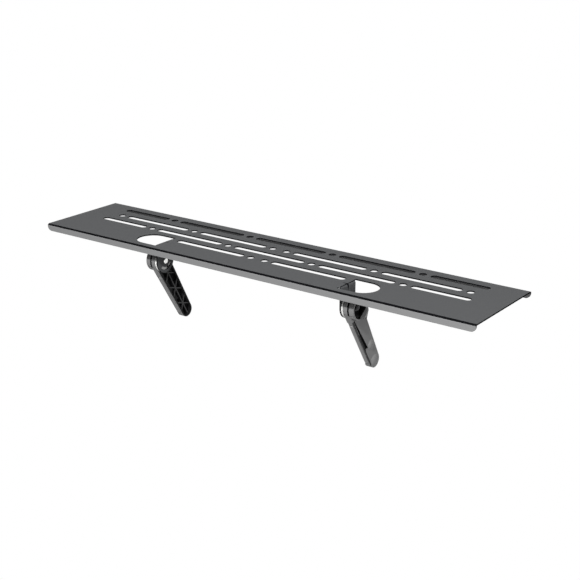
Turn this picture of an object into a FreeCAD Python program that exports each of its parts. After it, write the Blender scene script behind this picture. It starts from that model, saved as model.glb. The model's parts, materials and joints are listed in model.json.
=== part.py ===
import FreeCAD, Part
import math
import os

os.makedirs("parts", exist_ok=True)

# A steel shelf that lies on the top edge of a flat television. A short front lip hooks over the
# screen's bezel, and two arms swing on ears below the deck and lean on the television's back.
# Origin: underside of the middle seat pad. X runs along the shelf, -Y is the front, +Z is up.
# All lengths in millimetres, angles in degrees.

# Sheet and deck
DECK_L = 600.0
DECK_D = 123.0
SHEET_T = 1.5
BEND_IN = 1.0
LIP_H = 8.6
LIP_CORNER_R = 6.0
SEAT_SETBACK = 10.0
PAD_T = 1.5

# Slots and round holes, four rows from front to back
SLOT_W = 9.0
ROW_FIRST = 40.4
ROW_PITCH = 21.1
SLOT_L = 100.0
SLOT_WEB = 5.5
PAIR_X = 10.0
PATTERN_MARGIN = 38.0
WINDOW_WEB = 9.1
SHORTEST_SLOT = 27.0

# Ears lanced out of the D-shaped windows
EAR_FACE = 131.6
EAR_R = 14.3
WINDOW_R = 18.5
WINDOW_REACH = 168.5
PIVOT_Y = 18.7
PIVOT_DROP = 24.0
ARC_SLOT_R = 9.3
ARC_SLOT_W = 3.2
ARC_SLOT_FROM = -128.0
ARC_SLOT_TO = -26.0
DART_REACH = 6.0
DART_W = 3.4
DIMPLE_R = 1.1

# Pivot hardware
STUD_R = 2.5
STUD_HEAD_R = 3.4
STUD_HEAD_T = 0.8
STUD_HEAD_PROUD = 1.0
FIT = 0.08
FRICTION_R = 14.0
FRICTION_T = 2.6
FLAT_R = 5.5
FLAT_T = 1.0
NUT_AF = 8.0
NUT_T = 5.0
NUT_COLLAR_R = 3.4
NUT_COLLAR_T = 1.4
NUT_CHAMFER = 0.2
STUD_PROUD = 0.6

# Arm moulding, drawn hanging straight down from the pivot, then leaned back
LEAN = 28.6
ARM_T = 7.8
ARM_FRONT = 13.9
ARM_BACK = 10.5
ARM_REACH = 85.4
TIP_N = -0.25
TIP_R = 8.9
ARM_WALL = 2.0
ARM_SKIN = 1.8
ARM_ROUND = 1.6
RIB_T = 1.4
RIB_SINK = 1.6
CROSS_FIRST = 21.0
CROSS_STEP = 26.4
CROSS_COUNT = 3
STOP_PIN_R = 1.3

# Nut housing at the arm's upper end
HUB_R = 14.3
HUB_WALL = 1.8
HUB_FLOOR_T = 4.3
HUB_RISE = 6.0
HUB_GROOVE_W = 2.2
HUB_GROOVE_DEPTH = 2.2
HUB_GROOVE_HIGH = 9.0
HUB_GROOVE_LOW = 7.5
CREASE_W = 0.8
CREASE_DEPTH = 0.8
CREASE_DOWN = 6.2
WEB_FROM = 15.2
WEB_TO = 28.2
MOUTH_FRONT_N = -8.9
MOUTH_FRONT_S = 11.3
TAIL_SLOPE_FROM = 14.0
TAIL_SLOPE_TO = 28.6
FACET_TOP = 1.0
FACET_LOW = 16.3
FACET_IN = 8.0

# Relief on the arm's outboard face
CHANNEL_DEPTH = 2.4
CHANNEL_EDGE = 1.9
CHANNEL_FROM = 12.0
CHANNEL_TO = 62.0
CHANNEL_W_TOP = 1.6
CHANNEL_W_END = 4.6
EDGE_GROOVE_IN = 0.6
EDGE_GROOVE_W = 0.9
EDGE_GROOVE_DEPTH = 1.0
DOME_NEAR_S = 62.5
DOME_NEAR_N = 2.2
DOME_NEAR_R = 6.0
DOME_TIP_R = 7.2
DOME_H = 2.0

# Soft strip on the arm's front edge, and what the round inboard edge leaves for it
STRIP_FROM = 18.0
STRIP_TO = 82.0
STRIP_W = 4.2
STRIP_PROUD = 0.8

# Seat pads
PAD_L = 100.0
PAD_W = 14.0
PAD_STEP = 235.0

# Derived places
FRONT_Y = -SEAT_SETBACK
BACK_Y = DECK_D - SEAT_SETBACK
UNDER_Z = PAD_T
TOP_Z = PAD_T + SHEET_T
BEND_OUT = BEND_IN + SHEET_T
EAR_INNER = EAR_FACE - SHEET_T
BEND_X = EAR_FACE - BEND_OUT
PIVOT_Z = TOP_Z - PIVOT_DROP
ARM_IN = EAR_FACE + FRICTION_T
ARM_OUT = ARM_IN + ARM_T
HUB_FLOOR = ARM_IN + HUB_FLOOR_T
HUB_OUT = ARM_OUT + HUB_RISE
OVER = 5.0


def vec(x, y, z):
    return FreeCAD.Vector(x, y, z)


def box(x0, x1, y0, y1, z0, z1):
    return Part.makeBox(x1 - x0, y1 - y0, z1 - z0, vec(x0, y0, z0))


def disc_x(radius, x0, x1, y=0.0, z=0.0):
    """Cylinder along X between x0 and x1."""
    return Part.makeCylinder(radius, x1 - x0, vec(x0, y, z), vec(1, 0, 0))


def slab_yz(points, x0, x1):
    """Polygon in the Y-Z plane, given thickness from x0 to x1."""
    corners = [vec(x0, y, z) for y, z in points]
    face = Part.Face(Part.makePolygon(corners + corners[:1]))
    return face.extrude(vec(x1 - x0, 0, 0))


def slab_xz(points, y0, y1):
    """Polygon in the X-Z plane, given thickness from y0 to y1."""
    corners = [vec(x, y0, z) for x, z in points]
    face = Part.Face(Part.makePolygon(corners + corners[:1]))
    return face.extrude(vec(0, y1 - y0, 0))


def join(shapes):
    whole = shapes[0]
    for shape in shapes[1:]:
        whole = whole.fuse(shape)
    return whole.removeSplitter()


def cut_all(shape, tools):
    for tool in tools:
        shape = shape.cut(tool)
    return shape


def deck_profile():
    """Folded channel in the Y-Z plane: flat deck, two bends, two short lips."""
    low = TOP_Z - LIP_H
    y_in_front = FRONT_Y + BEND_OUT
    y_in_back = BACK_Y - BEND_OUT
    centre_z = TOP_Z - BEND_OUT
    half = math.sqrt(0.5)
    x = -DECK_L / 2.0

    def line(a, b):
        return Part.makeLine(vec(x, *a), vec(x, *b))

    def bend(cy, radius, side):
        start = vec(x, cy + side * radius, centre_z)
        middle = vec(x, cy + side * radius * half, centre_z + radius * half)
        return Part.Arc(start, middle, vec(x, cy, centre_z + radius)).toShape()

    edges = [
        line((FRONT_Y, low), (FRONT_Y, centre_z)),
        bend(y_in_front, BEND_OUT, -1),
        line((y_in_front, TOP_Z), (y_in_back, TOP_Z)),
        bend(y_in_back, BEND_OUT, 1),
        line((BACK_Y, centre_z), (BACK_Y, low)),
        line((BACK_Y, low), (BACK_Y - SHEET_T, low)),
        line((BACK_Y - SHEET_T, low), (BACK_Y - SHEET_T, centre_z)),
        bend(y_in_back, BEND_IN, 1),
        line((y_in_back, UNDER_Z), (y_in_front, UNDER_Z)),
        bend(y_in_front, BEND_IN, -1),
        line((FRONT_Y + SHEET_T, centre_z), (FRONT_Y + SHEET_T, low)),
        line((FRONT_Y + SHEET_T, low), (FRONT_Y, low)),
    ]
    wire = Part.Wire(Part.__sortEdges__(edges))
    return Part.Face(wire).extrude(vec(DECK_L, 0, 0))


def lip_corner_cut(side):
    """What is taken off both lips' lower corners at one end, to leave them round."""
    low = TOP_Z - LIP_H
    end = side * DECK_L / 2.0
    inner = end - side * LIP_CORNER_R
    x0, x1 = sorted((inner, end + side * OVER))
    block = box(x0, x1, FRONT_Y - OVER, BACK_Y + OVER, low - OVER, low + LIP_CORNER_R)
    drum = Part.makeCylinder(LIP_CORNER_R, DECK_D + 4 * OVER,
                             vec(inner, FRONT_Y - 2 * OVER, low + LIP_CORNER_R), vec(0, 1, 0))
    return block.cut(drum)


def slot_tool(x_centre, y_centre, length):
    """Round-ended slot, cut through the deck."""
    radius = SLOT_W / 2.0
    reach = length / 2.0 - radius
    z0, z1 = UNDER_Z - OVER, TOP_Z + OVER
    middle = box(x_centre - reach, x_centre + reach, y_centre - radius, y_centre + radius, z0, z1)
    ends = [Part.makeCylinder(radius, z1 - z0, vec(x_centre + s * reach, y_centre, z0)) for s in (-1, 1)]
    return join([middle] + ends)


def hole_tool(x_centre, y_centre):
    return Part.makeCylinder(SLOT_W / 2.0, SHEET_T + 2 * OVER, vec(x_centre, y_centre, UNDER_Z - OVER))


def row_y(index):
    return FRONT_Y + ROW_FIRST + index * ROW_PITCH


def row_tools(y, first_slot_from, limit):
    """Slots and holes that take turns from mid-width to the limit; the last slot is cut short to end there."""
    tools = []
    start = first_slot_from
    while limit - start >= SHORTEST_SLOT:
        length = min(SLOT_L, limit - start)
        hole_x = start + SLOT_L + SLOT_WEB + SLOT_W / 2.0
        for side in (-1, 1):
            tools.append(slot_tool(side * (start + length / 2.0), y, length))
            if hole_x + SLOT_W / 2.0 <= limit:
                tools.append(hole_tool(side * hole_x, y))
        start = hole_x + SLOT_W / 2.0 + SLOT_WEB
    return tools


def slot_tools():
    """Rows one and three start with a hole pair at mid-width, rows two and four with a slot."""
    tools = []
    step = SLOT_L / 2.0 + SLOT_WEB + SLOT_W / 2.0
    for index in range(4):
        y = row_y(index)
        limit = DECK_L / 2.0 - PATTERN_MARGIN
        if index % 2 == 1:
            tools.append(slot_tool(0.0, y, SLOT_L))
            tools.extend([hole_tool(-step, y), hole_tool(step, y)])
            tools.extend(row_tools(y, step + SLOT_W / 2.0 + SLOT_WEB, limit))
            continue
        if index == 0:
            limit = BEND_X - WINDOW_WEB
        tools.extend([hole_tool(-PAIR_X, y), hole_tool(PAIR_X, y)])
        tools.extend(row_tools(y, PAIR_X + SLOT_W / 2.0 + SLOT_WEB, limit))
    return tools


def window_tool():
    """D-shaped window that an ear is lanced out of, straight side inboard (right-hand one)."""
    z0, z1 = UNDER_Z - OVER, TOP_Z + OVER
    centre_x = WINDOW_REACH - WINDOW_R
    block = box(BEND_X, centre_x, PIVOT_Y - WINDOW_R, PIVOT_Y + WINDOW_R, z0, z1)
    return join([block, Part.makeCylinder(WINDOW_R, z1 - z0, vec(centre_x, PIVOT_Y, z0))])


def arc_slot_tool():
    """Slot concentric with the pivot that the arm's stop pin runs in."""
    x0, x1 = EAR_INNER - OVER, EAR_FACE + OVER
    outer = disc_x(ARC_SLOT_R + ARC_SLOT_W / 2.0, x0, x1)
    ring = outer.cut(disc_x(ARC_SLOT_R - ARC_SLOT_W / 2.0, x0, x1))
    reach = 2.0 * EAR_R
    points = [(0.0, 0.0)]
    for step in range(5):
        angle = math.radians(ARC_SLOT_FROM + (ARC_SLOT_TO - ARC_SLOT_FROM) * step / 4.0)
        points.append((reach * math.cos(angle), reach * math.sin(angle)))
    sector = ring.common(slab_yz(points, x0, x1))
    ends = []
    for degrees in (ARC_SLOT_FROM, ARC_SLOT_TO):
        angle = math.radians(degrees)
        ends.append(disc_x(ARC_SLOT_W / 2.0, x0, x1,
                           ARC_SLOT_R * math.cos(angle), ARC_SLOT_R * math.sin(angle)))
    tool = join([sector] + ends)
    tool.translate(vec(0, PIVOT_Y, PIVOT_Z))
    return tool


def ear():
    """Tab bent down out of the deck, round at its end, with stud hole, arc slot and stiffening dart."""
    y0, y1 = PIVOT_Y - EAR_R, PIVOT_Y + EAR_R
    bend_z = TOP_Z - BEND_OUT
    outer = Part.makeCylinder(BEND_OUT, y1 - y0, vec(BEND_X, y0, bend_z), vec(0, 1, 0))
    inner = Part.makeCylinder(BEND_IN, y1 - y0, vec(BEND_X, y0, bend_z), vec(0, 1, 0))
    quarter = box(BEND_X, BEND_X + OVER, y0, y1, bend_z, bend_z + OVER)
    bend = outer.cut(inner).common(quarter)
    flat = box(EAR_INNER, EAR_FACE, y0, y1, PIVOT_Z, bend_z)
    round_end = disc_x(EAR_R, EAR_INNER, EAR_FACE, PIVOT_Y, PIVOT_Z)
    dart = slab_xz([(EAR_INNER - DART_REACH, UNDER_Z + SHEET_T / 2.0), (EAR_INNER - DART_REACH, UNDER_Z),
                    (EAR_INNER, UNDER_Z - DART_REACH), (EAR_INNER + SHEET_T / 2.0, UNDER_Z - DART_REACH),
                    (EAR_INNER, UNDER_Z)],
                   PIVOT_Y - DART_W / 2.0, PIVOT_Y + DART_W / 2.0)
    tab = join([bend, flat, round_end, dart])
    half = math.sqrt(0.5)
    corner = vec(BEND_X + BEND_OUT * half, PIVOT_Y, bend_z + BEND_OUT * half)
    along = vec(half, 0, -half)
    start = corner - along * (2 * OVER)
    dimple = Part.makeCylinder(DIMPLE_R, 4 * OVER, start, along)
    tab = tab.cut(disc_x(STUD_R + FIT / 2.0, EAR_INNER - 1, EAR_FACE + 1, PIVOT_Y, PIVOT_Z))
    tab = tab.cut(disc_x(STUD_HEAD_R + FIT / 2.0, EAR_INNER - 1, EAR_INNER + STUD_HEAD_T, PIVOT_Y, PIVOT_Z))
    return tab.cut(arc_slot_tool()), dimple


def mirrored(shape):
    return shape.mirror(vec(0, 0, 0), vec(1, 0, 0))


def shelf_plate():
    plate = deck_profile()
    plate = cut_all(plate, [lip_corner_cut(-1), lip_corner_cut(1)])
    plate = cut_all(plate, slot_tools())
    window = window_tool()
    plate = cut_all(plate, [window, mirrored(window)])
    tab, dimple = ear()
    plate = join([plate, tab, mirrored(tab)])
    return cut_all(plate, [dimple, mirrored(dimple)])


def stud():
    """Low-headed stud pressed into the ear from inside, its shank pointing outboard."""
    head = disc_x(STUD_HEAD_R, EAR_INNER - STUD_HEAD_PROUD, EAR_INNER + STUD_HEAD_T, PIVOT_Y, PIVOT_Z)
    end = HUB_FLOOR + FLAT_T + NUT_T + STUD_PROUD
    shank = disc_x(STUD_R, EAR_INNER, end, PIVOT_Y, PIVOT_Z)
    solid = join([head, shank])
    tip = [e for e in solid.Edges if abs(e.BoundBox.XMax - end) < 0.01 and abs(e.BoundBox.XMin - end) < 0.01]
    return solid.makeChamfer(0.5, tip)


def friction_washer():
    """Pale plastic disc that the arm turns with; the arm's stop pin passes through it."""
    disc = disc_x(FRICTION_R, EAR_FACE, ARM_IN, 0, 0)
    disc = disc.cut(disc_x(STUD_R + FIT, EAR_FACE - 1, ARM_IN + 1, 0, 0))
    disc = disc.cut(disc_x(STOP_PIN_R + FIT / 2.0, EAR_FACE - 1, ARM_IN + 1, 0, -ARC_SLOT_R))
    return lean_back(disc)


def flat_washer():
    disc = disc_x(FLAT_R, HUB_FLOOR, HUB_FLOOR + FLAT_T, PIVOT_Y, PIVOT_Z)
    return disc.cut(disc_x(STUD_R + FIT, HUB_FLOOR - 1, HUB_FLOOR + FLAT_T + 1, PIVOT_Y, PIVOT_Z))


def lock_nut():
    """Hexagon nut with chamfered corners and the round collar of its locking insert."""
    x0 = HUB_FLOOR + FLAT_T
    x1 = x0 + NUT_T - NUT_COLLAR_T
    reach = NUT_AF / 2.0 / math.cos(math.radians(30.0))
    corners = []
    for step in range(6):
        angle = math.radians(60.0 * step)
        corners.append((PIVOT_Y + reach * math.cos(angle), PIVOT_Z + reach * math.sin(angle)))
    hexagon = slab_yz(corners, x0, x1)
    cone_r = NUT_AF / 2.0 - NUT_CHAMFER
    cone = Part.makeCone(cone_r + (x1 - x0) * 2.0, cone_r, x1 - x0, vec(x0, PIVOT_Y, PIVOT_Z), vec(1, 0, 0))
    collar = disc_x(NUT_COLLAR_R, x1 - 0.1, x0 + NUT_T, PIVOT_Y, PIVOT_Z)
    nut = join([hexagon.common(cone), collar])
    return nut.cut(disc_x(STUD_R + FIT / 2.0, x0 - 1, x0 + NUT_T + 1, PIVOT_Y, PIVOT_Z))


def lean_back(shape):
    """From hanging straight down at the origin to the arm's place and lean on the ear."""
    shape.rotate(vec(0, 0, 0), vec(1, 0, 0), LEAN)
    shape.translate(vec(0, PIVOT_Y, PIVOT_Z))
    return shape


def touch_point(side, n, radius):
    """Where a line from (n, 0) touches the tip circle, on the front (-1) or back (1) side."""
    gap = math.hypot(n - TIP_N, ARM_REACH)
    angle = math.atan2(ARM_REACH, n - TIP_N) - side * math.acos(radius / gap)
    return (TIP_N + radius * math.cos(angle), -ARM_REACH + radius * math.sin(angle))


def edge_n(side, s):
    """Place across the arm of its front (-1) or back (1) edge, at s from the pivot."""
    start = -ARM_FRONT if side < 0 else ARM_BACK
    low = touch_point(side, start, TIP_R)
    return start + (low[0] - start) * s / -low[1]


def arm_outline(inset, x0, x1):
    """Strap that narrows to a round tip; inset draws the same line inside the wall."""
    radius = TIP_R - inset
    front = (-ARM_FRONT + inset, 0.0)
    back = (ARM_BACK - inset, 0.0)
    corners = [front, touch_point(-1, front[0], radius), (TIP_N, -ARM_REACH),
               touch_point(1, back[0], radius), back]
    return join([slab_yz(corners, x0, x1), disc_x(radius, x0, x1, TIP_N, -ARM_REACH)])


def hub_web_points(inset):
    """Web between hub and strap on the back side; inset draws the same line inside the wall."""
    corner = HUB_R - inset
    shoulder = math.radians(-LEAN)
    return [(0.0, 0.0),
            (corner * math.cos(shoulder), corner * math.sin(shoulder)),
            (edge_n(1, WEB_FROM) - inset, -WEB_FROM),
            (edge_n(1, WEB_TO) - inset, -WEB_TO + inset),
            (MOUTH_FRONT_N, -MOUTH_FRONT_S)]


def along_front(shape):
    """A shape drawn beside the origin, set along the arm's slanting front edge."""
    low = touch_point(-1, -ARM_FRONT, TIP_R)
    shape.rotate(vec(0, 0, 0), vec(1, 0, 0), math.degrees(math.atan2(low[0] + ARM_FRONT, -low[1])))
    shape.translate(vec(0, -ARM_FRONT, 0))
    return shape


def front_round():
    """What rounding takes off the long inboard edge of the arm's front."""
    block = box(ARM_IN - OVER, ARM_IN + ARM_ROUND, -OVER, ARM_ROUND, -ARM_REACH, -HUB_R)
    drum = Part.makeCylinder(ARM_ROUND, ARM_REACH, vec(ARM_IN + ARM_ROUND, ARM_ROUND, -ARM_REACH))
    return along_front(block.cut(drum))


def arm_core():
    """Outline solid, hollowed from the inboard side, with one long rib and three crossed pairs."""
    body = join([arm_outline(0.0, ARM_IN, ARM_OUT), disc_x(HUB_R, ARM_IN, ARM_OUT),
                 slab_yz(hub_web_points(0.0), ARM_IN, ARM_OUT)])
    body = body.cut(front_round())
    hollow = arm_outline(ARM_WALL, ARM_IN - 1.0, ARM_OUT - ARM_SKIN)
    hollow = hollow.cut(disc_x(HUB_R + 1.0, ARM_IN - 2.0, ARM_OUT))
    hollow = cut_all(hollow, [pocket_backing(), channel_backing(), arm_ribs()])
    return body.cut(hollow)


def pocket_backing():
    """Material kept under the floor of the nut housing."""
    points = hub_web_points(-ARM_SKIN)
    return slab_yz([(-ARM_FRONT, 0.0)] + points[1:] + [(-ARM_FRONT, -MOUTH_FRONT_S)],
                   HUB_FLOOR - ARM_SKIN, ARM_OUT)


def channel_backing():
    """Material kept behind the long channel of the outboard face."""
    back = CHANNEL_EDGE + CHANNEL_W_END + ARM_SKIN
    points = [(edge_n(-1, CHANNEL_FROM), -CHANNEL_FROM + ARM_SKIN),
              (edge_n(-1, CHANNEL_FROM) + CHANNEL_EDGE + CHANNEL_W_TOP + ARM_SKIN, -CHANNEL_FROM + ARM_SKIN),
              (edge_n(-1, CHANNEL_TO) + back, -CHANNEL_TO - ARM_SKIN),
              (edge_n(-1, CHANNEL_TO), -CHANNEL_TO - ARM_SKIN)]
    return slab_yz(points, ARM_OUT - CHANNEL_DEPTH - ARM_SKIN, ARM_OUT)


def arm_ribs():
    x0, x1 = ARM_IN + RIB_SINK, ARM_OUT
    half = RIB_T / 2.0
    ribs = [box(x0, x1, TIP_N - half, TIP_N + half, -ARM_REACH - TIP_R, 0.0)]
    reach = ARM_FRONT + ARM_BACK
    for index in range(CROSS_COUNT):
        z = -(CROSS_FIRST + index * CROSS_STEP)
        for angle in (45.0, -45.0):
            bar = box(x0, x1, -reach, reach, -half, half)
            bar.rotate(vec(0, 0, 0), vec(1, 0, 0), angle)
            bar.translate(vec(0, TIP_N, z))
            ribs.append(bar)
    return join(ribs)


def hub_solid(x0):
    """Outline of the nut housing, solid from x0 out."""
    return join([disc_x(HUB_R, x0, HUB_OUT), slab_yz(hub_web_points(0.0), x0, HUB_OUT)])


def tail_slope():
    """What is taken off the housing's tail, so that it runs down to the strap's face."""
    far = 2.0 * WEB_TO
    return slab_xz([(ARM_OUT, -TAIL_SLOPE_TO), (HUB_OUT, -TAIL_SLOPE_FROM),
                    (HUB_OUT + OVER, -TAIL_SLOPE_FROM), (HUB_OUT + OVER, -far), (ARM_OUT, -far)],
                   0.0, 3 * HUB_R)


def hub_rim():
    """Raised wall round the hub's outboard side; its back leg runs down to the strap's face."""
    far = 2.0 * WEB_TO
    tail_in = edge_n(1, WEB_TO) - HUB_WALL
    below = [(-HUB_R - OVER, -MOUTH_FRONT_S), (MOUTH_FRONT_N, -MOUTH_FRONT_S),
             (tail_in, -WEB_TO + HUB_WALL), (tail_in, -far), (-HUB_R - OVER, -far)]
    return hub_solid(ARM_OUT - 0.2).cut(tail_slope()).cut(slab_yz(below, ARM_OUT, HUB_OUT + 1.0))


def hub_pocket():
    """Stepped hollow of the nut housing, down to the floor that the nut clamps on, open down the arm."""
    step_x = ARM_OUT + HUB_WALL / 2.0
    narrow = HUB_WALL / 2.0 + HUB_GROOVE_DEPTH
    low = join([disc_x(HUB_R - narrow, HUB_FLOOR, step_x),
                slab_yz(hub_web_points(narrow), HUB_FLOOR, step_x)])
    wide = join([disc_x(HUB_R - HUB_WALL, step_x, HUB_OUT + OVER),
                 slab_yz(hub_web_points(HUB_WALL), step_x, HUB_OUT + OVER)])
    apron = slab_yz([(MOUTH_FRONT_N, -MOUTH_FRONT_S),
                     (edge_n(1, WEB_TO) - HUB_WALL, -WEB_TO + HUB_WALL), (0.0, 0.0)],
                    ARM_OUT, HUB_OUT + OVER)
    return join([low, wide, apron])


def pocket_facet():
    """Slanting three-sided face in the lower back corner of the nut housing, drawn as in use."""
    wall = HUB_R - HUB_WALL
    far = HUB_R + OVER
    a, b, c = vec(HUB_OUT, wall, -FACET_TOP), vec(HUB_OUT, wall - 1.0, -FACET_LOW), vec(ARM_OUT, FACET_IN, -FACET_LOW)
    d, e = vec(ARM_OUT, wall, -FACET_TOP), vec(ARM_OUT, far, -FACET_LOW)
    f, g = vec(HUB_OUT, far, -FACET_LOW), vec(HUB_OUT, far, -FACET_TOP)
    h = vec(ARM_OUT, far, -FACET_TOP)
    faces = [(a, c, b), (a, d, c), (b, c, e, f), (a, b, f, g), (g, f, e, h), (a, g, h, d), (d, h, e, c)]
    shell = Part.makeShell([Part.Face(Part.makePolygon(list(face) + [face[0]])) for face in faces])
    solid = Part.makeSolid(shell)
    if solid.Volume < 0:
        solid.reverse()
    solid.rotate(vec(0, 0, 0), vec(1, 0, 0), -LEAN)
    return solid.common(hub_solid(ARM_OUT - 1.0)).cut(tail_slope())


def hub_groove():
    """Deep groove round the hub's front, between its inboard ring and the nut housing."""
    x0 = ARM_OUT - HUB_GROOVE_W
    ring = disc_x(HUB_R + OVER, x0, ARM_OUT).cut(disc_x(HUB_R - HUB_GROOVE_DEPTH, x0, ARM_OUT))
    front = box(x0, ARM_OUT, -HUB_R - OVER, 0.0, -HUB_GROOVE_LOW, HUB_GROOVE_HIGH)
    front.rotate(vec(0, 0, 0), vec(1, 0, 0), -LEAN)
    return ring.common(front)


def hub_crease():
    """Narrow notch across the hub where its round front meets the strap's slant."""
    notch = box(ARM_IN - OVER, HUB_OUT + OVER, -HUB_R - OVER, -HUB_R + CREASE_DEPTH, -CREASE_W, 0.0)
    notch.rotate(vec(0, 0, 0), vec(1, 0, 0), math.degrees(math.asin(CREASE_DOWN / HUB_R)) - LEAN)
    return notch


def front_channel():
    """Long tapered channel beside the front edge of the outboard face, with a stepped end."""
    top = edge_n(-1, CHANNEL_FROM) + CHANNEL_EDGE
    end = edge_n(-1, CHANNEL_TO) + CHANNEL_EDGE
    step = CHANNEL_W_END / 2.0
    points = [(top, -CHANNEL_FROM), (top + CHANNEL_W_TOP, -CHANNEL_FROM),
              (end + CHANNEL_W_END, -CHANNEL_TO), (end + step, -CHANNEL_TO + step),
              (end, -CHANNEL_TO + step)]
    return slab_yz(points, ARM_OUT - CHANNEL_DEPTH, ARM_OUT + OVER)


def edge_groove():
    """Fine groove beside the front edge of the outboard face, from the hub to the tip."""
    groove = box(ARM_OUT - EDGE_GROOVE_DEPTH, ARM_OUT + OVER, EDGE_GROOVE_IN,
                 EDGE_GROOVE_IN + EDGE_GROOVE_W, -ARM_REACH, -CHANNEL_FROM)
    return along_front(groove)


def dome(radius, n, s):
    """Low spherical button standing on the outboard face."""
    ball_r = (radius * radius + DOME_H * DOME_H) / (2.0 * DOME_H)
    ball = Part.makeSphere(ball_r, vec(ARM_OUT + DOME_H - ball_r, n, -s))
    return ball.common(disc_x(radius + 1.0, ARM_OUT - 0.3, ARM_OUT + DOME_H + 1.0, n, -s))


def arm():
    body = join([arm_core(), hub_rim()]).cut(hub_pocket())
    body = join([body, pocket_facet()])
    body = cut_all(body, [hub_groove(), hub_crease(), front_channel(), edge_groove()])
    body = body.cut(disc_x(STUD_R + FIT, ARM_IN - 1.0, HUB_OUT + 1.0))
    stop_pin = disc_x(STOP_PIN_R, EAR_INNER + 0.3, ARM_IN + 0.5, 0.0, -ARC_SLOT_R)
    body = join([body, dome(DOME_NEAR_R, DOME_NEAR_N, DOME_NEAR_S), dome(DOME_TIP_R, TIP_N, ARM_REACH),
                 stop_pin])
    return lean_back(body)


def arm_strip():
    """Soft strip with round ends, stuck along the arm's front edge."""
    x0 = ARM_IN + ARM_ROUND
    strip = box(x0, x0 + STRIP_W, -STRIP_PROUD, 0.0, -STRIP_TO, -STRIP_FROM)
    upright = [e for e in strip.Edges if abs(e.BoundBox.YLength - STRIP_PROUD) < 0.01]
    return lean_back(along_front(strip.makeFillet(STRIP_W / 2.0 - 0.2, upright)))


def seat_pads():
    y = -PAD_W / 2.0
    pads = []
    for index in (-1, 0, 1):
        x = index * PAD_STEP
        pad = box(x - PAD_L / 2.0, x + PAD_L / 2.0, y, y + PAD_W, 0.0, PAD_T)
        upright = [e for e in pad.Edges if abs(e.BoundBox.ZLength - PAD_T) < 0.01]
        pads.append(pad.makeFillet(3.0, upright))
    return Part.makeCompound(pads)


def write(name, shape):
    solids = shape.Solids
    shape = solids[0] if len(solids) == 1 else Part.makeCompound(solids)
    shape.exportStep("parts/" + name + ".step")
    span = shape.BoundBox
    print(name, "solids", len(solids), "valid", shape.isValid(), "volume %.0f" % shape.Volume,
          "x %.1f..%.1f y %.1f..%.1f z %.1f..%.1f" % (span.XMin, span.XMax, span.YMin, span.YMax,
                                                      span.ZMin, span.ZMax))


write("shelf_plate", shelf_plate())
write("seat_pads", seat_pads())
for label, maker in (("stud", stud), ("friction_washer", friction_washer), ("arm", arm),
                     ("arm_strip", arm_strip), ("flat_washer", flat_washer), ("lock_nut", lock_nut)):
    piece = maker()
    write("right_" + label, piece)
    write("left_" + label, mirrored(piece))
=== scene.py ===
# %% [markdown]
# A shelf for the top edge of a television.
# A folded steel deck with slots rests on the television, a short front lip hooks over its
# bezel, and two ribbed plastic arms lean on its back. Every solid is already modelled: plate,
# arms, strips, washers, studs, nuts and pads arrive as the frame. What is left for this script
# is the skin of each piece and the light: the powder coat with painted shade on its bends and
# cut edges and painted light on its lips, the grained plastic with painted shade in its hollows,
# the pale nylon, the bright and the blackened steel, and the screw threads.
# Lengths are metres. X runs along the shelf, -Y is the front, +Z is up.

# %% Load the frame
import json
import math
import bpy
import numpy as np
from mathutils import Matrix, Vector


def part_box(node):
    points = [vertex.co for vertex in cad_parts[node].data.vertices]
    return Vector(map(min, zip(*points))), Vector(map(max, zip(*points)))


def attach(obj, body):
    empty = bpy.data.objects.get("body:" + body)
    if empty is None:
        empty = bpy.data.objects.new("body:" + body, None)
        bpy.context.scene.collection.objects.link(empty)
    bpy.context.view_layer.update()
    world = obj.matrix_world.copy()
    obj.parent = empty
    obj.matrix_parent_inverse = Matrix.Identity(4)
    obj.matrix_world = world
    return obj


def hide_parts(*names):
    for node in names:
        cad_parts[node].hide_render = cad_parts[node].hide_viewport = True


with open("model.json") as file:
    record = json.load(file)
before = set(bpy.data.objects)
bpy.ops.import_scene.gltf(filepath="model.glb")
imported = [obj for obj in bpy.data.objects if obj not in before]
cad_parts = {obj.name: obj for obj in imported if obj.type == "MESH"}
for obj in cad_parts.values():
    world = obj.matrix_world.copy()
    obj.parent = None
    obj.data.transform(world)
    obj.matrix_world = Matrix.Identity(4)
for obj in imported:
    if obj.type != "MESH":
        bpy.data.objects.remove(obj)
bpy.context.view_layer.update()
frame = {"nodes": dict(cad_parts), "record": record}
SLOT_OF = {part["node"]: part["material_slot"] for part in frame["record"]["subparts"]}

# %% [markdown]
# The sizes that the finishes need are read from the frame, so that they follow the solids.
# The plate gives the deck's top and its edges, and the pads give the underside that they touch.
# A friction washer lies between an ear's outer face and its arm's inner face, and gives both.
# A stud gives the pivot's place and the size of its own head.

# %% Read the sizes of the frame
plate_low, plate_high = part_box("shelf_plate")
pads_low, pads_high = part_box("seat_pads")
washer_low, washer_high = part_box("right_friction_washer")
stud_low, stud_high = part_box("right_stud")
TOP_Z = plate_high[2]
UNDER_Z = pads_high[2]
SHEET = TOP_Z - UNDER_Z
HALF_LENGTH = plate_high[0]
MIDDLE_Y = (plate_low[1] + plate_high[1]) / 2.0
HALF_DEPTH = (plate_high[1] - plate_low[1]) / 2.0
EAR_FACE = washer_low[0]
ARM_INNER = washer_high[0]
HEAD_RADIUS = (stud_high[1] - stud_low[1]) / 2.0
PIVOT_Y = (stud_low[1] + stud_high[1]) / 2.0
PIVOT_Z = (stud_low[2] + stud_high[2]) / 2.0
print("sheet %.4f, ear face %.4f, pivot y %.4f z %.4f" % (SHEET, EAR_FACE, PIVOT_Y, PIVOT_Z))

# %% [markdown]
# The camera stands in front of the shelf and to its right, and looks down by 19 degrees.
# Its three axes come from the vanishing points of the deck's long edges, its short edges and
# the upright lines of the ears. The lens and the distance come from the lengths of the deck's
# edges. A very small shift sets the frame of the picture.

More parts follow.
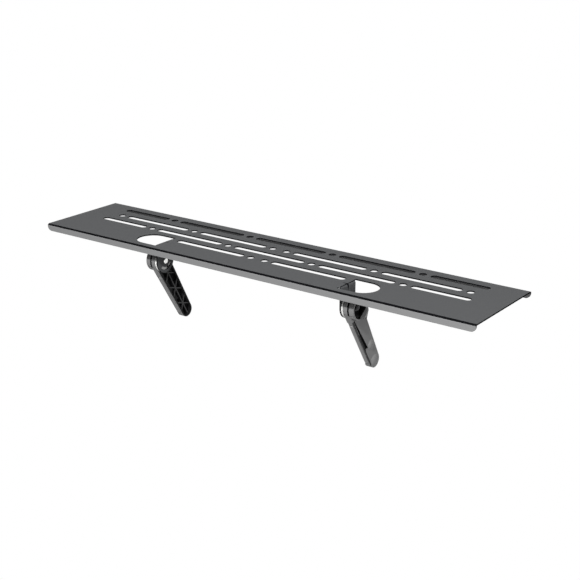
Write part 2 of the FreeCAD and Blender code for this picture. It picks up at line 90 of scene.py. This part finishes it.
# %% Set the camera
RIGHT = Vector((0.80769, 0.58961, 0.00007))
DOWN = Vector((0.19536, -0.26751, -0.94354))
FORWARD = Vector((-0.55631, 0.76210, -0.33125))
CAMERA_PLACE = (0.8026, -1.0056, 0.4249)
camera_data = bpy.data.cameras.new("camera")
camera_data.sensor_width = 36.0
camera_data.lens = 75.03
camera_data.shift_x = -0.00074
camera_data.shift_y = 0.00069
camera_data.clip_start = 0.05
camera_data.clip_end = 200.0
camera = bpy.data.objects.new("camera", camera_data)
bpy.context.scene.collection.objects.link(camera)
turn = Matrix((RIGHT, -DOWN, -FORWARD)).transposed().to_4x4()
camera.matrix_world = Matrix.Translation(CAMERA_PLACE) @ turn
bpy.context.scene.camera = camera
print("camera at", [round(c, 3) for c in camera.matrix_world.translation])

# %% [markdown]
# Finishes are built from a few small helpers. Each one works on Object coordinates or on the
# surface's own normal, so a finish looks the same from wherever it is seen.
# A mask is a value that is 1 on the marked part of a surface and 0 elsewhere. Masks are
# multiplied where both have to hold, and their maximum is taken where one is enough.

# %% Helper for a material
def new_material(name, colour, roughness, metallic=0.0, specular=0.5):
    """Material with one Principled node: plain colour, roughness, metal or not."""
    material = bpy.data.materials.new(name)
    material.use_nodes = True
    shader = material.node_tree.nodes["Principled BSDF"]
    shader.inputs["Base Color"].default_value = (colour[0], colour[1], colour[2], 1.0)
    shader.inputs["Roughness"].default_value = roughness
    shader.inputs["Metallic"].default_value = metallic
    shader.inputs["Specular IOR Level"].default_value = specular
    return material


# %% Helpers for masks
def arithmetic(tree, operation, first, second=0.0, third=0.0):
    """Math node: first, second and third are sockets or numbers; returns its output."""
    node = tree.nodes.new("ShaderNodeMath")
    node.operation = operation
    for index, value in enumerate((first, second, third)):
        if isinstance(value, (int, float)):
            node.inputs[index].default_value = value
        else:
            tree.links.new(value, node.inputs[index])
    return node.outputs[0]


def near(tree, value, middle, reach):
    """Mask of where the value lies within that reach of the middle."""
    return arithmetic(tree, "COMPARE", value, middle, reach)


def all_of(tree, first, *others):
    """Mask of where every one of the masks is 1: their product."""
    for other in others:
        first = arithmetic(tree, "MULTIPLY", first, other)
    return first


def any_of(tree, first, *others):
    """Mask of where at least one of the masks is 1: their maximum."""
    for other in others:
        first = arithmetic(tree, "MAXIMUM", first, other)
    return first


def object_place(tree):
    """Object coordinates as three sockets: x, y and z."""
    coordinates = tree.nodes.new("ShaderNodeTexCoord")
    split = tree.nodes.new("ShaderNodeSeparateXYZ")
    tree.links.new(coordinates.outputs["Object"], split.inputs[0])
    return split.outputs[0], split.outputs[1], split.outputs[2]


# %% Helpers for colour and grain
def mix_colour(tree, factor, first, second):
    """Colour between first (factor 0) and second (factor 1); both are colours or sockets."""
    node = tree.nodes.new("ShaderNodeMix")
    node.data_type = "RGBA"
    tree.links.new(factor, node.inputs["Factor"])
    for socket, value in ((node.inputs[6], first), (node.inputs[7], second)):
        if isinstance(value, tuple):
            socket.default_value = (value[0], value[1], value[2], 1.0)
        else:
            tree.links.new(value, socket)
    return node.outputs[2]


def recolour(material, mask, colour):
    """Gives the material that colour where the mask is 1, and leaves its own elsewhere."""
    tree = material.node_tree
    base = tree.nodes["Principled BSDF"].inputs["Base Color"]
    own = tuple(base.default_value[:3])
    tree.links.new(mix_colour(tree, mask, own, colour), base)


def grain(material, scale, height):
    """Fine relief: noise with that many cells per metre bumps the shading by that height."""
    tree = material.node_tree
    coordinates = tree.nodes.new("ShaderNodeTexCoord")
    texture = tree.nodes.new("ShaderNodeTexNoise")
    texture.inputs["Scale"].default_value = scale
    texture.inputs["Detail"].default_value = 2.0
    tree.links.new(coordinates.outputs["Object"], texture.inputs["Vector"])
    bump = tree.nodes.new("ShaderNodeBump")
    bump.inputs["Strength"].default_value = 1.0
    bump.inputs["Distance"].default_value = height
    tree.links.new(texture.outputs["Fac"], bump.inputs["Height"])
    tree.links.new(bump.outputs["Normal"], tree.nodes["Principled BSDF"].inputs["Normal"])


# %% [markdown]
# Powder coat is a dry plastic dust, sprayed on charged steel and baked until it flows. It lies
# even and dull on flat faces. Its bends and its cut edges, such as the walls of its slots, get a
# painted shade: fine near-black lines that stand in for the shade there. These lines could be
# drawn in an image and wrapped round the plate. Masks do it without one, and follow the plate's sizes.
# A bend can be found from the normal alone. On a flat face of this plate the normal points
# along one axis, so the largest of |nx|, |ny| and |nz| is 1. Half-way round a bend it is 0.71.

# %% Mask of the bends
FLAT_FROM = 0.985
BEND_FROM = 0.3
EAR_BEND_FROM = 0.83


def bend_shade_mask(tree, nx, ny, nz):
    """Mask of the upper part of a bend, where the coat gets its painted shade.

    There the largest part of the normal is below FLAT_FROM, and |nz| is above
    BEND_FROM + EAR_BEND_FROM |nx|. So the line is narrower where an ear turns down than at a lip.
    """
    largest = any_of(tree, nx, ny, nz)
    curved = arithmetic(tree, "LESS_THAN", largest, FLAT_FROM)
    least = arithmetic(tree, "MULTIPLY_ADD", nx, EAR_BEND_FROM, BEND_FROM)
    return all_of(tree, curved, arithmetic(tree, "GREATER_THAN", nz, least))


# %% [markdown]
# A cut edge gets the same painted shade. It is found from its place: a wall that stands upright
# within the sheet's thickness, an end face of the plate, or the narrow rim of an ear. The folds at
# the lips and the ears also stand upright in part, so they are left out.

# %% Mask of the cut edges
HAIR = 0.0001
FOLD_REACH = 0.003
EAR_HALF = 0.0145
EAR_RIM_REACH = 0.02


def cut_edge_shade_mask(tree, place, ny, nz):
    """Mask of the cut edges, which get painted shade; place is the mirrored |x|, y and z of Object
    coordinates.
    """
    across, y, z = place
    upright = arithmetic(tree, "LESS_THAN", nz, 0.5)
    in_sheet = arithmetic(tree, "GREATER_THAN", z, UNDER_Z - SHEET / 2.0)
    between_lips = near(tree, y, MIDDLE_Y, HALF_DEPTH - FOLD_REACH)
    at_fold = near(tree, across, EAR_FACE - FOLD_REACH / 2.0, FOLD_REACH / 2.0 + 3.0 * HAIR)
    at_ear = near(tree, y, PIVOT_Y, EAR_HALF)
    off_ear = arithmetic(tree, "SUBTRACT", 1.0, all_of(tree, at_fold, at_ear))
    wall = all_of(tree, upright, in_sheet, between_lips, off_ear)
    end_face = arithmetic(tree, "GREATER_THAN", across, HALF_LENGTH - 2.0 * HAIR)
    facing_out = arithmetic(tree, "GREATER_THAN", ny, 0.5)
    in_ear = near(tree, across, EAR_FACE - SHEET / 2.0, SHEET / 2.0 + HAIR)
    rim = all_of(tree, in_ear, facing_out, near(tree, y, PIVOT_Y, EAR_RIM_REACH))
    return any_of(tree, wall, end_face, rim)


# %% [markdown]
# A dart is a short dent pressed into the inside of a bend, which stiffens the ear. Its shade is
# painted: a dark point that starts at the bend and tapers away from it, both along the deck
# and down the ear.

# %% Mask of the darts
DART_REACH = 0.0085
DART_HALF = 0.0017


def dart_shade_mask(tree, place):
    """Mask of a dart's painted shade: its half width falls from DART_HALF at the corner to 0 at DART_REACH.
    """
    across, y, z = place
    from_corner = any_of(tree, arithmetic(tree, "SUBTRACT", EAR_FACE, across),
                         arithmetic(tree, "SUBTRACT", TOP_Z, z))
    half = arithmetic(tree, "MULTIPLY_ADD", from_corner, -DART_HALF / DART_REACH, DART_HALF)
    inside = arithmetic(tree, "LESS_THAN", across, EAR_FACE + 3.0 * HAIR)
    in_reach = arithmetic(tree, "LESS_THAN", from_corner, DART_REACH)
    return all_of(tree, near(tree, y, PIVOT_Y, half), inside, in_reach)


# %% [markdown]
# The coat puts the three masks together into a painted shade: a near-black colour on the bends,
# the cut edges and the darts. The flat faces of the lips are seen paler than their angle to the
# light explains, so they get a painted light: a paler colour than the deck. A painted dark line
# has no gloss, because a mirror of the bright ground in it would make it grey again.

# %% Powder coat of the plate
COAT_DECK = (0.083, 0.085, 0.088)
# Painted light: the lips' flat faces get this paler colour than the deck.
COAT_LIP_PAINTED_LIGHT = (0.215, 0.216, 0.218)
# Painted shade: the near-black colour of the bends, the cut edges and the darts.
COAT_PAINTED_SHADE = (0.006, 0.006, 0.007)
COAT_GLOSS = 0.12
LIP_FACING = 0.7


def powder_coat():
    """Coat with painted light on the lips, and painted shade without gloss on bends, cut edges and darts."""
    material = new_material("powder_coat", COAT_DECK, 0.62)
    tree = material.node_tree
    geometry = tree.nodes.new("ShaderNodeNewGeometry")
    normal = tree.nodes.new("ShaderNodeSeparateXYZ")
    tree.links.new(geometry.outputs["Normal"], normal.inputs[0])
    nx, ny, nz = [arithmetic(tree, "ABSOLUTE", normal.outputs[axis]) for axis in range(3)]
    x, y, z = object_place(tree)
    place = (arithmetic(tree, "ABSOLUTE", x), y, z)
    # The dark mask marks where the painted shade goes: bends, cut edges and darts.
    dark = any_of(tree, bend_shade_mask(tree, nx, ny, nz), cut_edge_shade_mask(tree, place, ny, nz), dart_shade_mask(tree, place))
    lip = arithmetic(tree, "GREATER_THAN", ny, LIP_FACING)
    colour = mix_colour(tree, dark, mix_colour(tree, lip, COAT_DECK, COAT_LIP_PAINTED_LIGHT), COAT_PAINTED_SHADE)
    gloss = arithmetic(tree, "MULTIPLY", arithmetic(tree, "SUBTRACT", 1.0, dark), COAT_GLOSS)
    shader = tree.nodes["Principled BSDF"]
    tree.links.new(colour, shader.inputs["Base Color"])
    tree.links.new(gloss, shader.inputs["Specular IOR Level"])
    grain(material, 1400.0, 0.00002)
    return material


# %% [markdown]
# The arms are injection-moulded. Their steel mould has a fine spark-eroded grain, which makes
# the plastic satin. A painted shade runs down the front outboard corner of each arm and widens
# beside the end of the channel, in place of the shade in a narrow rebate there. An arm leans, so
# its places are told by two lengths of its own: n runs across the arm to its back edge and s runs
# down it, both from the pivot.

# %% Painted shade of the arms' rebate
LEAN = math.radians(28.6)
ARM_OUT = 0.142
EDGE_FRONT = (-0.0139, 0.0566)
# Painted shade: the near-black colour of the arm's hollow, pocket, grooves and rebate band.
PLASTIC_SHADE = (0.010, 0.010, 0.0105)
REBATE_SHADE_DEEP = 0.0013
REBATE_SHADE_WIDTH = 0.0005
REBATE_SHADE_MORE = 0.0016
REBATE_SHADE_SPAN = (0.012, 0.087)
REBATE_SHADE_WIDE_SPAN = (0.035, 0.062)


def span_mask(tree, value, span):
    """Mask of where the value lies in that span."""
    return near(tree, value, (span[0] + span[1]) / 2.0, (span[1] - span[0]) / 2.0)


def rebate_shade(material):
    """Painted shade along the arm's front outboard corner, in place of a narrow groove's shade.

    The front edge lies at n = a + b s. The painted shade is where |x| is near the outboard face
    and n is at most its band's width behind that edge.
    """
    tree = material.node_tree
    x, y, z = object_place(tree)
    across = arithmetic(tree, "ABSOLUTE", x)
    y = arithmetic(tree, "SUBTRACT", y, PIVOT_Y)
    z = arithmetic(tree, "SUBTRACT", z, PIVOT_Z)
    n = arithmetic(tree, "MULTIPLY_ADD", z, math.sin(LEAN), arithmetic(tree, "MULTIPLY", y, math.cos(LEAN)))
    s = arithmetic(tree, "MULTIPLY_ADD", z, -math.cos(LEAN), arithmetic(tree, "MULTIPLY", y, math.sin(LEAN)))
    edge = arithmetic(tree, "MULTIPLY_ADD", s, EDGE_FRONT[1], EDGE_FRONT[0])
    wide = span_mask(tree, s, REBATE_SHADE_WIDE_SPAN)
    width = arithmetic(tree, "MULTIPLY_ADD", wide, REBATE_SHADE_MORE, REBATE_SHADE_WIDTH)
    behind = arithmetic(tree, "LESS_THAN", arithmetic(tree, "SUBTRACT", n, edge), width)
    at_face = arithmetic(tree, "GREATER_THAN", across, ARM_OUT - REBATE_SHADE_DEEP)
    # Painted shade: the band gets the near-black colour of the arm's hollow.
    recolour(material, all_of(tree, behind, at_face, span_mask(tree, s, REBATE_SHADE_SPAN)), PLASTIC_SHADE)


# %% [markdown]
# Two more finishes change along |x|. The nylon washer gets a painted shade in a thin band where
# it meets the ear. The stud's head is zinc-plated and stays bright, but its outer end, which sits
# in the shaded nut pocket, gets a painted shade as dark as the blackened washer and nut.

# %% Finishes that change along the pivot
SEAM_SHADE_SPAN = (EAR_FACE + 0.0001, EAR_FACE + 0.0007)
# Painted shade: the dark colour of the band where the washer meets the ear.
SEAM_SHADE = (0.02, 0.02, 0.02)
# The blackened nut and washer's own colour, also used as painted shade on the stud's outer end.
BLACKENED_AND_SHADE = (0.02, 0.02, 0.022)
BRIGHT_LENGTH = 0.004


def washer_seam_shade(material):
    """Painted shade in a band where |x| is just outside the ear's face."""
    tree = material.node_tree
    across = arithmetic(tree, "ABSOLUTE", object_place(tree)[0])
    recolour(material, span_mask(tree, across, SEAM_SHADE_SPAN), SEAM_SHADE)


def shaded_stud_end(material):
    """Painted shade: turns the metal dark where |x| is more than BRIGHT_LENGTH outside the ear's face."""
    tree = material.node_tree
    across = arithmetic(tree, "ABSOLUTE", object_place(tree)[0])
    recolour(material, arithmetic(tree, "GREATER_THAN", across, EAR_FACE + BRIGHT_LENGTH), BLACKENED_AND_SHADE)


# %% [markdown]
# Each slot of the frame gets its finish. The strip on an arm's front edge is softer and duller
# than the arm, and it gets a paler colour, a painted light that brightens the arms' front edges.
# The seat pads are plain black rubber. Plastic and rubber differ mostly by their roughness and
# by how coarse their grain is.

# %% Plastic, rubber, nylon and steel
FINISH = {
    "powder_coated_steel": powder_coat(),
    "black_plastic": new_material("black_plastic", (0.185, 0.185, 0.186), 0.5, specular=0.3),
    # The strip's paler colour than the arm is painted light on the arms' front edges.
    "strip_rubber": new_material("strip_rubber", (0.250, 0.250, 0.251), 0.6, specular=0.2),
    "rubber": new_material("rubber", (0.018, 0.018, 0.019), 0.85, specular=0.25),
    "white_nylon": new_material("white_nylon", (0.86, 0.86, 0.84), 0.38),
    "bright_steel": new_material("bright_steel", (0.82, 0.82, 0.80), 0.28, metallic=1.0),
    "blackened_steel": new_material("blackened_steel", BLACKENED_AND_SHADE, 0.45, metallic=0.2),
}
rebate_shade(FINISH["black_plastic"])
washer_seam_shade(FINISH["white_nylon"])
shaded_stud_end(FINISH["bright_steel"])
grain(FINISH["black_plastic"], 2200.0, 0.000012)
grain(FINISH["strip_rubber"], 900.0, 0.00002)
grain(FINISH["rubber"], 700.0, 0.00004)
for name, node in frame["nodes"].items():
    node.data.materials.clear()
    node.data.materials.append(FINISH[SLOT_OF[name]])
print("finishes:", sorted(FINISH))

# %% [markdown]
# The stud is a pressed-in screw of 5 mm with a low round head inside the ear. The solid's shank
# is a plain cylinder. A thread could be a helix swept along it, but its ends are hard to close.
# Here the stud is turned as one skin: the surface is a grid of rings along X, and the radius
# falls and rises once per pitch while the angle runs round once,
# r = R - depth * |2 * frac(x / pitch - angle / 2 pi) - 1|.
# The head has a small chamfer, and the free end is rounded off so that a nut can start on it.

# %% Rings of a stud
THREAD_PITCH = 0.0008
THREAD_DEPTH = 0.00045
RINGS_PER_TURN = 8
SHANK_RADIUS = 0.0025
HEAD_LENGTH = 0.0018
HEAD_CHAMFER = 0.0003
PLAIN_SHANK = 0.001
END_LENGTH = 0.0004
END_CHAMFER = 0.0006
FADE_IN = 8.0
FADE_OUT = 12.0
LAST_THREAD = 0.3


def stud_rings():
    """Rings from the head to the free end as an array (rings, 3): x, radius, thread's share.

    Along the thread the share of its full depth rises from 0 over the first eighth of its
    length, stays 1, and falls to LAST_THREAD at its end.
    """
    low, high = stud_low[0], stud_high[0]
    head_end = low + HEAD_LENGTH
    head = [(low, HEAD_RADIUS - 2.0 * HEAD_CHAMFER, 0.0),
            (low + HEAD_CHAMFER, HEAD_RADIUS - HEAD_CHAMFER / 2.0, 0.0),
            (low + 2.0 * HEAD_CHAMFER, HEAD_RADIUS, 0.0),
            (head_end, HEAD_RADIUS, 0.0),
            (head_end, SHANK_RADIUS, 0.0)]
    start, stop = head_end + PLAIN_SHANK, high - END_LENGTH
    count = int(round((stop - start) / THREAD_PITCH * RINGS_PER_TURN))
    along = np.linspace(0.0, 1.0, count + 1)
    share = np.minimum(np.minimum(1.0, along * FADE_IN), (1.0 - along) * FADE_OUT + LAST_THREAD)
    thread = np.column_stack([start + along * (stop - start), np.full(count + 1, SHANK_RADIUS), share])
    return np.vstack([head, thread, [(high, SHANK_RADIUS - END_CHAMFER, 0.0)]])


# %% [markdown]
# The grid's points and faces are whole arrays. A quad joins each point to the next one round
# and to the ring after it, and a fan of triangles closes either end at the axis. The left stud
# is the mirror image, which would turn it inside out, so the order of the points in a face is
# reversed on one side.

# %% Studs with their threads
ROUND_STEPS = 48


def stud_mesh(name, rings, side):
    """Closed turned mesh about the pivot's axis; side is 1 for the right and -1 for the left."""
    angle = np.linspace(0.0, 2.0 * math.pi, ROUND_STEPS, endpoint=False)
    x = rings[:, 0:1] + 0.0 * angle
    turns = np.mod(x / THREAD_PITCH - angle / (2.0 * math.pi), 1.0)
    radius = rings[:, 1:2] - rings[:, 2:3] * THREAD_DEPTH * np.abs(2.0 * turns - 1.0)
    grid = np.stack([side * x, PIVOT_Y + radius * np.cos(angle), PIVOT_Z + radius * np.sin(angle)], axis=2)
    ends = [(side * rings[0, 0], PIVOT_Y, PIVOT_Z), (side * rings[-1, 0], PIVOT_Y, PIVOT_Z)]
    points = np.vstack([grid.reshape(-1, 3), ends])
    number = np.arange(len(rings) * ROUND_STEPS).reshape(len(rings), ROUND_STEPS)
    after = np.roll(number, -1, axis=1)
    quads = np.stack([number[:-1], after[:-1], after[1:], number[1:]], axis=2).reshape(-1, 4)
    head_centre = np.full(ROUND_STEPS, number.size)
    head_fan = np.column_stack([head_centre, after[0], number[0]])
    end_fan = np.column_stack([head_centre + 1, number[-1], after[-1]])
    faces = quads.tolist() + head_fan.tolist() + end_fan.tolist()
    if side > 0:
        faces = [face[::-1] for face in faces]
    mesh = bpy.data.meshes.new(name)
    mesh.from_pydata(points.tolist(), [], faces)
    mesh.update()
    return mesh


for label, side in (("left", -1), ("right", 1)):
    mesh = stud_mesh(label + "_stud_turned", stud_rings(), side)
    mesh.materials.append(FINISH["bright_steel"])
    turned = bpy.data.objects.new(label + "_stud_turned", mesh)
    bpy.context.scene.collection.objects.link(turned)
    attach(turned, "shelf")
    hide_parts(label + "_stud")
    print(turned.name, "faces", len(mesh.polygons))

# %% [markdown]
# An arm shows two skins. Outside it is grained and satin. The ribbed hollow, the nut's pocket
# and the grooves get a painted shade: a near-black colour, on a smoother finish, where shade falls
# in them. The ribs' edges get a lighter painted shade than the hollow, as they catch some light.
# A mask in the material would need a long list of places, so the faces of a copy of the arm are
# sorted instead.

# %% Where a face lies on the arm
HUB_RADIUS = 0.0143
TIP_PLACE = 0.0854
TIP_ACROSS = -0.00025
TIP_RADIUS = 0.0089
EDGE_BACK = (0.0105, -0.0215)
OUTSIDE = -1.0


def face_places(mesh):
    """Centres and normals of all faces as arrays (faces, 3)."""
    centres = np.empty(3 * len(mesh.polygons))
    normals = np.empty(3 * len(mesh.polygons))
    mesh.polygons.foreach_get("center", centres)
    mesh.polygons.foreach_get("normal", normals)
    return centres.reshape(-1, 3), normals.reshape(-1, 3)


def outline_margin(n, s):
    """Distance inside the arm's outline: the largest of strap, hub circle and tip circle.

    The strap lies between the front edge n = a + b s and the back edge, which is written alike.
    """
    front = n - (EDGE_FRONT[0] + EDGE_FRONT[1] * s)
    back = EDGE_BACK[0] + EDGE_BACK[1] * s - n
    strap = np.where((s < 0.0) | (s > TIP_PLACE), OUTSIDE, np.minimum(front, back))
    hub = HUB_RADIUS - np.hypot(n, s)
    tip = TIP_RADIUS - np.hypot(n - TIP_ACROSS, s - TIP_PLACE)
    return np.maximum(np.maximum(strap, hub), tip)


# %% [markdown]
# Each face centre is turned back by the arm's lean, which gives its n and s. A face that lies
# inside the outline and isn't part of the outer side belongs to a hollow. The outer side is the
# flat outer face of strap and hub, the slope between them, the facet beside the pocket and the
# domed buttons. What faces the ear is hollow too, and the ribs' edges lie one step behind the
# arm's inner face.

# %% Sort the faces of an arm
SATIN, HOLLOW, RIB = 0, 1, 2
RIB_SINK = 0.0016
SAME_PLANE = 0.0002
IN_OUTLINE = 0.0004
BUTTONS_FROM = 0.05


def skin_index(mesh, side, hub_out):
    """Skin of each face: SATIN outside, HOLLOW where the painted shade goes, RIB on the edge of a rib."""
    centres, normals = face_places(mesh)
    x = side * centres[:, 0]
    outward = side * normals[:, 0]
    y, z = centres[:, 1] - PIVOT_Y, centres[:, 2] - PIVOT_Z
    n = y * math.cos(LEAN) + z * math.sin(LEAN)
    s = y * math.sin(LEAN) - z * math.cos(LEAN)
    flat = (outward > 0.9) & ((np.abs(x - ARM_OUT) < SAME_PLANE) | (x > hub_out - SAME_PLANE))
    slope = (outward > 0.88) & (outward < 0.97) & (x > ARM_OUT + SAME_PLANE)
    facet = (outward > 0.3) & (outward < 0.7) & (x > ARM_OUT) & (n > 0.0)
    button = (x > ARM_OUT - SAME_PLANE / 2.0) & (s > BUTTONS_FROM)
    hollow = (outline_margin(n, s) > IN_OUTLINE) & ~(flat | slope | facet | button)
    inward = outward < -0.7
    rib = inward & (np.abs(x - ARM_INNER - RIB_SINK) < SAME_PLANE)
    return np.where(rib, RIB, np.where(hollow | inward, HOLLOW, SATIN)).astype(np.int32)


# %% Arms with a satin outside and a painted shade inside
# Painted shade in the hollow, the pocket and the grooves: a near-black colour.
hollow_shade = new_material("hollow_shade_plastic", PLASTIC_SHADE, 0.35, specular=0.08)
# Painted shade on the ribs' edges, lighter than in the hollow, as they catch some light.
rib_edge_shade = new_material("rib_edge_shade_plastic", (0.055, 0.055, 0.056), 0.4, specular=0.1)
for label, side in (("left", -1), ("right", 1)):
    mesh = frame["nodes"][label + "_arm"].data.copy()
    mesh.name = label + "_arm_moulded"
    mesh.materials.clear()
    for material in (FINISH["black_plastic"], hollow_shade, rib_edge_shade):
        mesh.materials.append(material)
    low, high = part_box(label + "_arm")
    index = skin_index(mesh, side, max(side * low[0], side * high[0]))
    mesh.polygons.foreach_set("material_index", index)
    mesh.update()
    moulded = bpy.data.objects.new(label + "_arm_moulded", mesh)
    bpy.context.scene.collection.objects.link(moulded)
    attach(moulded, label + "_support")
    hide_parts(label + "_arm")
    print(moulded.name, "faces by skin", np.bincount(index).tolist())

# %% [markdown]
# The photograph is a cut-out on pure white. A wide white floor lies far below the shelf, so
# that the picture's ground is white without a hard shadow beside the arms. Seen by the camera,
# and in the mirror of bright metal, floor and surroundings are plain white. For every other ray
# the floor is white paper, and the surroundings are dim.

# %% Floor and surroundings
FLOOR_Z = -0.7
FLOOR_HALF = 40.0
FLOOR_PAPER = (0.5, 0.5, 0.5)
DIM = 0.05
WHITE = (1.0, 1.0, 1.0, 1.0)


def white_for_eye(tree, shader, output):
    """Shows a plain white emission wherever the camera, a mirror or a clear piece looks."""
    path = tree.nodes.new("ShaderNodeLightPath")
    white = tree.nodes.new("ShaderNodeEmission")
    white.inputs["Color"].default_value = WHITE
    white.inputs["Strength"].default_value = 1.0
    seen = any_of(tree, path.outputs["Is Camera Ray"], path.outputs["Is Transmission Ray"],
                  path.outputs["Is Glossy Ray"])
    mix = tree.nodes.new("ShaderNodeMixShader")
    tree.links.new(seen, mix.inputs[0])
    tree.links.new(shader, mix.inputs[1])
    tree.links.new(white.outputs[0], mix.inputs[2])
    tree.links.new(mix.outputs[0], output)


corners = [(x * FLOOR_HALF, y * FLOOR_HALF, FLOOR_Z) for x, y in ((-1, -1), (1, -1), (1, 1), (-1, 1))]
floor_mesh = bpy.data.meshes.new("floor")
floor_mesh.from_pydata(corners, [], [(0, 1, 2, 3)])
floor = bpy.data.objects.new("floor", floor_mesh)
bpy.context.scene.collection.objects.link(floor)
paper = new_material("white_paper", FLOOR_PAPER, 0.9, specular=0.0)
paper_nodes = paper.node_tree.nodes
white_for_eye(paper.node_tree, paper_nodes["Principled BSDF"].outputs[0],
              paper_nodes["Material Output"].inputs["Surface"])
floor_mesh.materials.append(paper)

world = bpy.data.worlds.new("surroundings")
bpy.context.scene.world = world
world.use_nodes = True
background = world.node_tree.nodes["Background"]
background.inputs["Color"].default_value = WHITE
background.inputs["Strength"].default_value = DIM
white_for_eye(world.node_tree, background.outputs[0],
              world.node_tree.nodes["World Output"].inputs["Surface"])
bpy.context.scene.view_settings.view_transform = "Standard"
print("floor at", FLOOR_Z, "surroundings", DIM)

# %% [markdown]
# One lamp does most of the work. It stands in front and a little to the right, forty degrees
# above the horizon, and its size sets how soft the lip's shadow on the arms is. A wide lamp low
# on the right reaches the outer side of the right arm and the near end of the deck, and leaves
# the left arm's inner side dark.

# %% Lamps
def area_lamp(name, place, target, size, power):
    """Square lamp of that side length at place, facing target."""
    data = bpy.data.lights.new(name, "AREA")
    data.size = size
    data.energy = power
    lamp = bpy.data.objects.new(name, data)
    bpy.context.scene.collection.objects.link(lamp)
    lamp.location = place
    lamp.rotation_mode = "QUATERNION"
    lamp.rotation_quaternion = (Vector(target) - Vector(place)).to_track_quat("-Z", "Y")
    print(name, "at", place, "watts", power)


area_lamp("key", (0.45, -1.85, 1.62), (0.0, 0.03, 0.0), 0.25, 82.0)
area_lamp("right_fill", (1.0, -0.30, 0.22), (0.1, 0.05, -0.03), 0.4, 4.0)
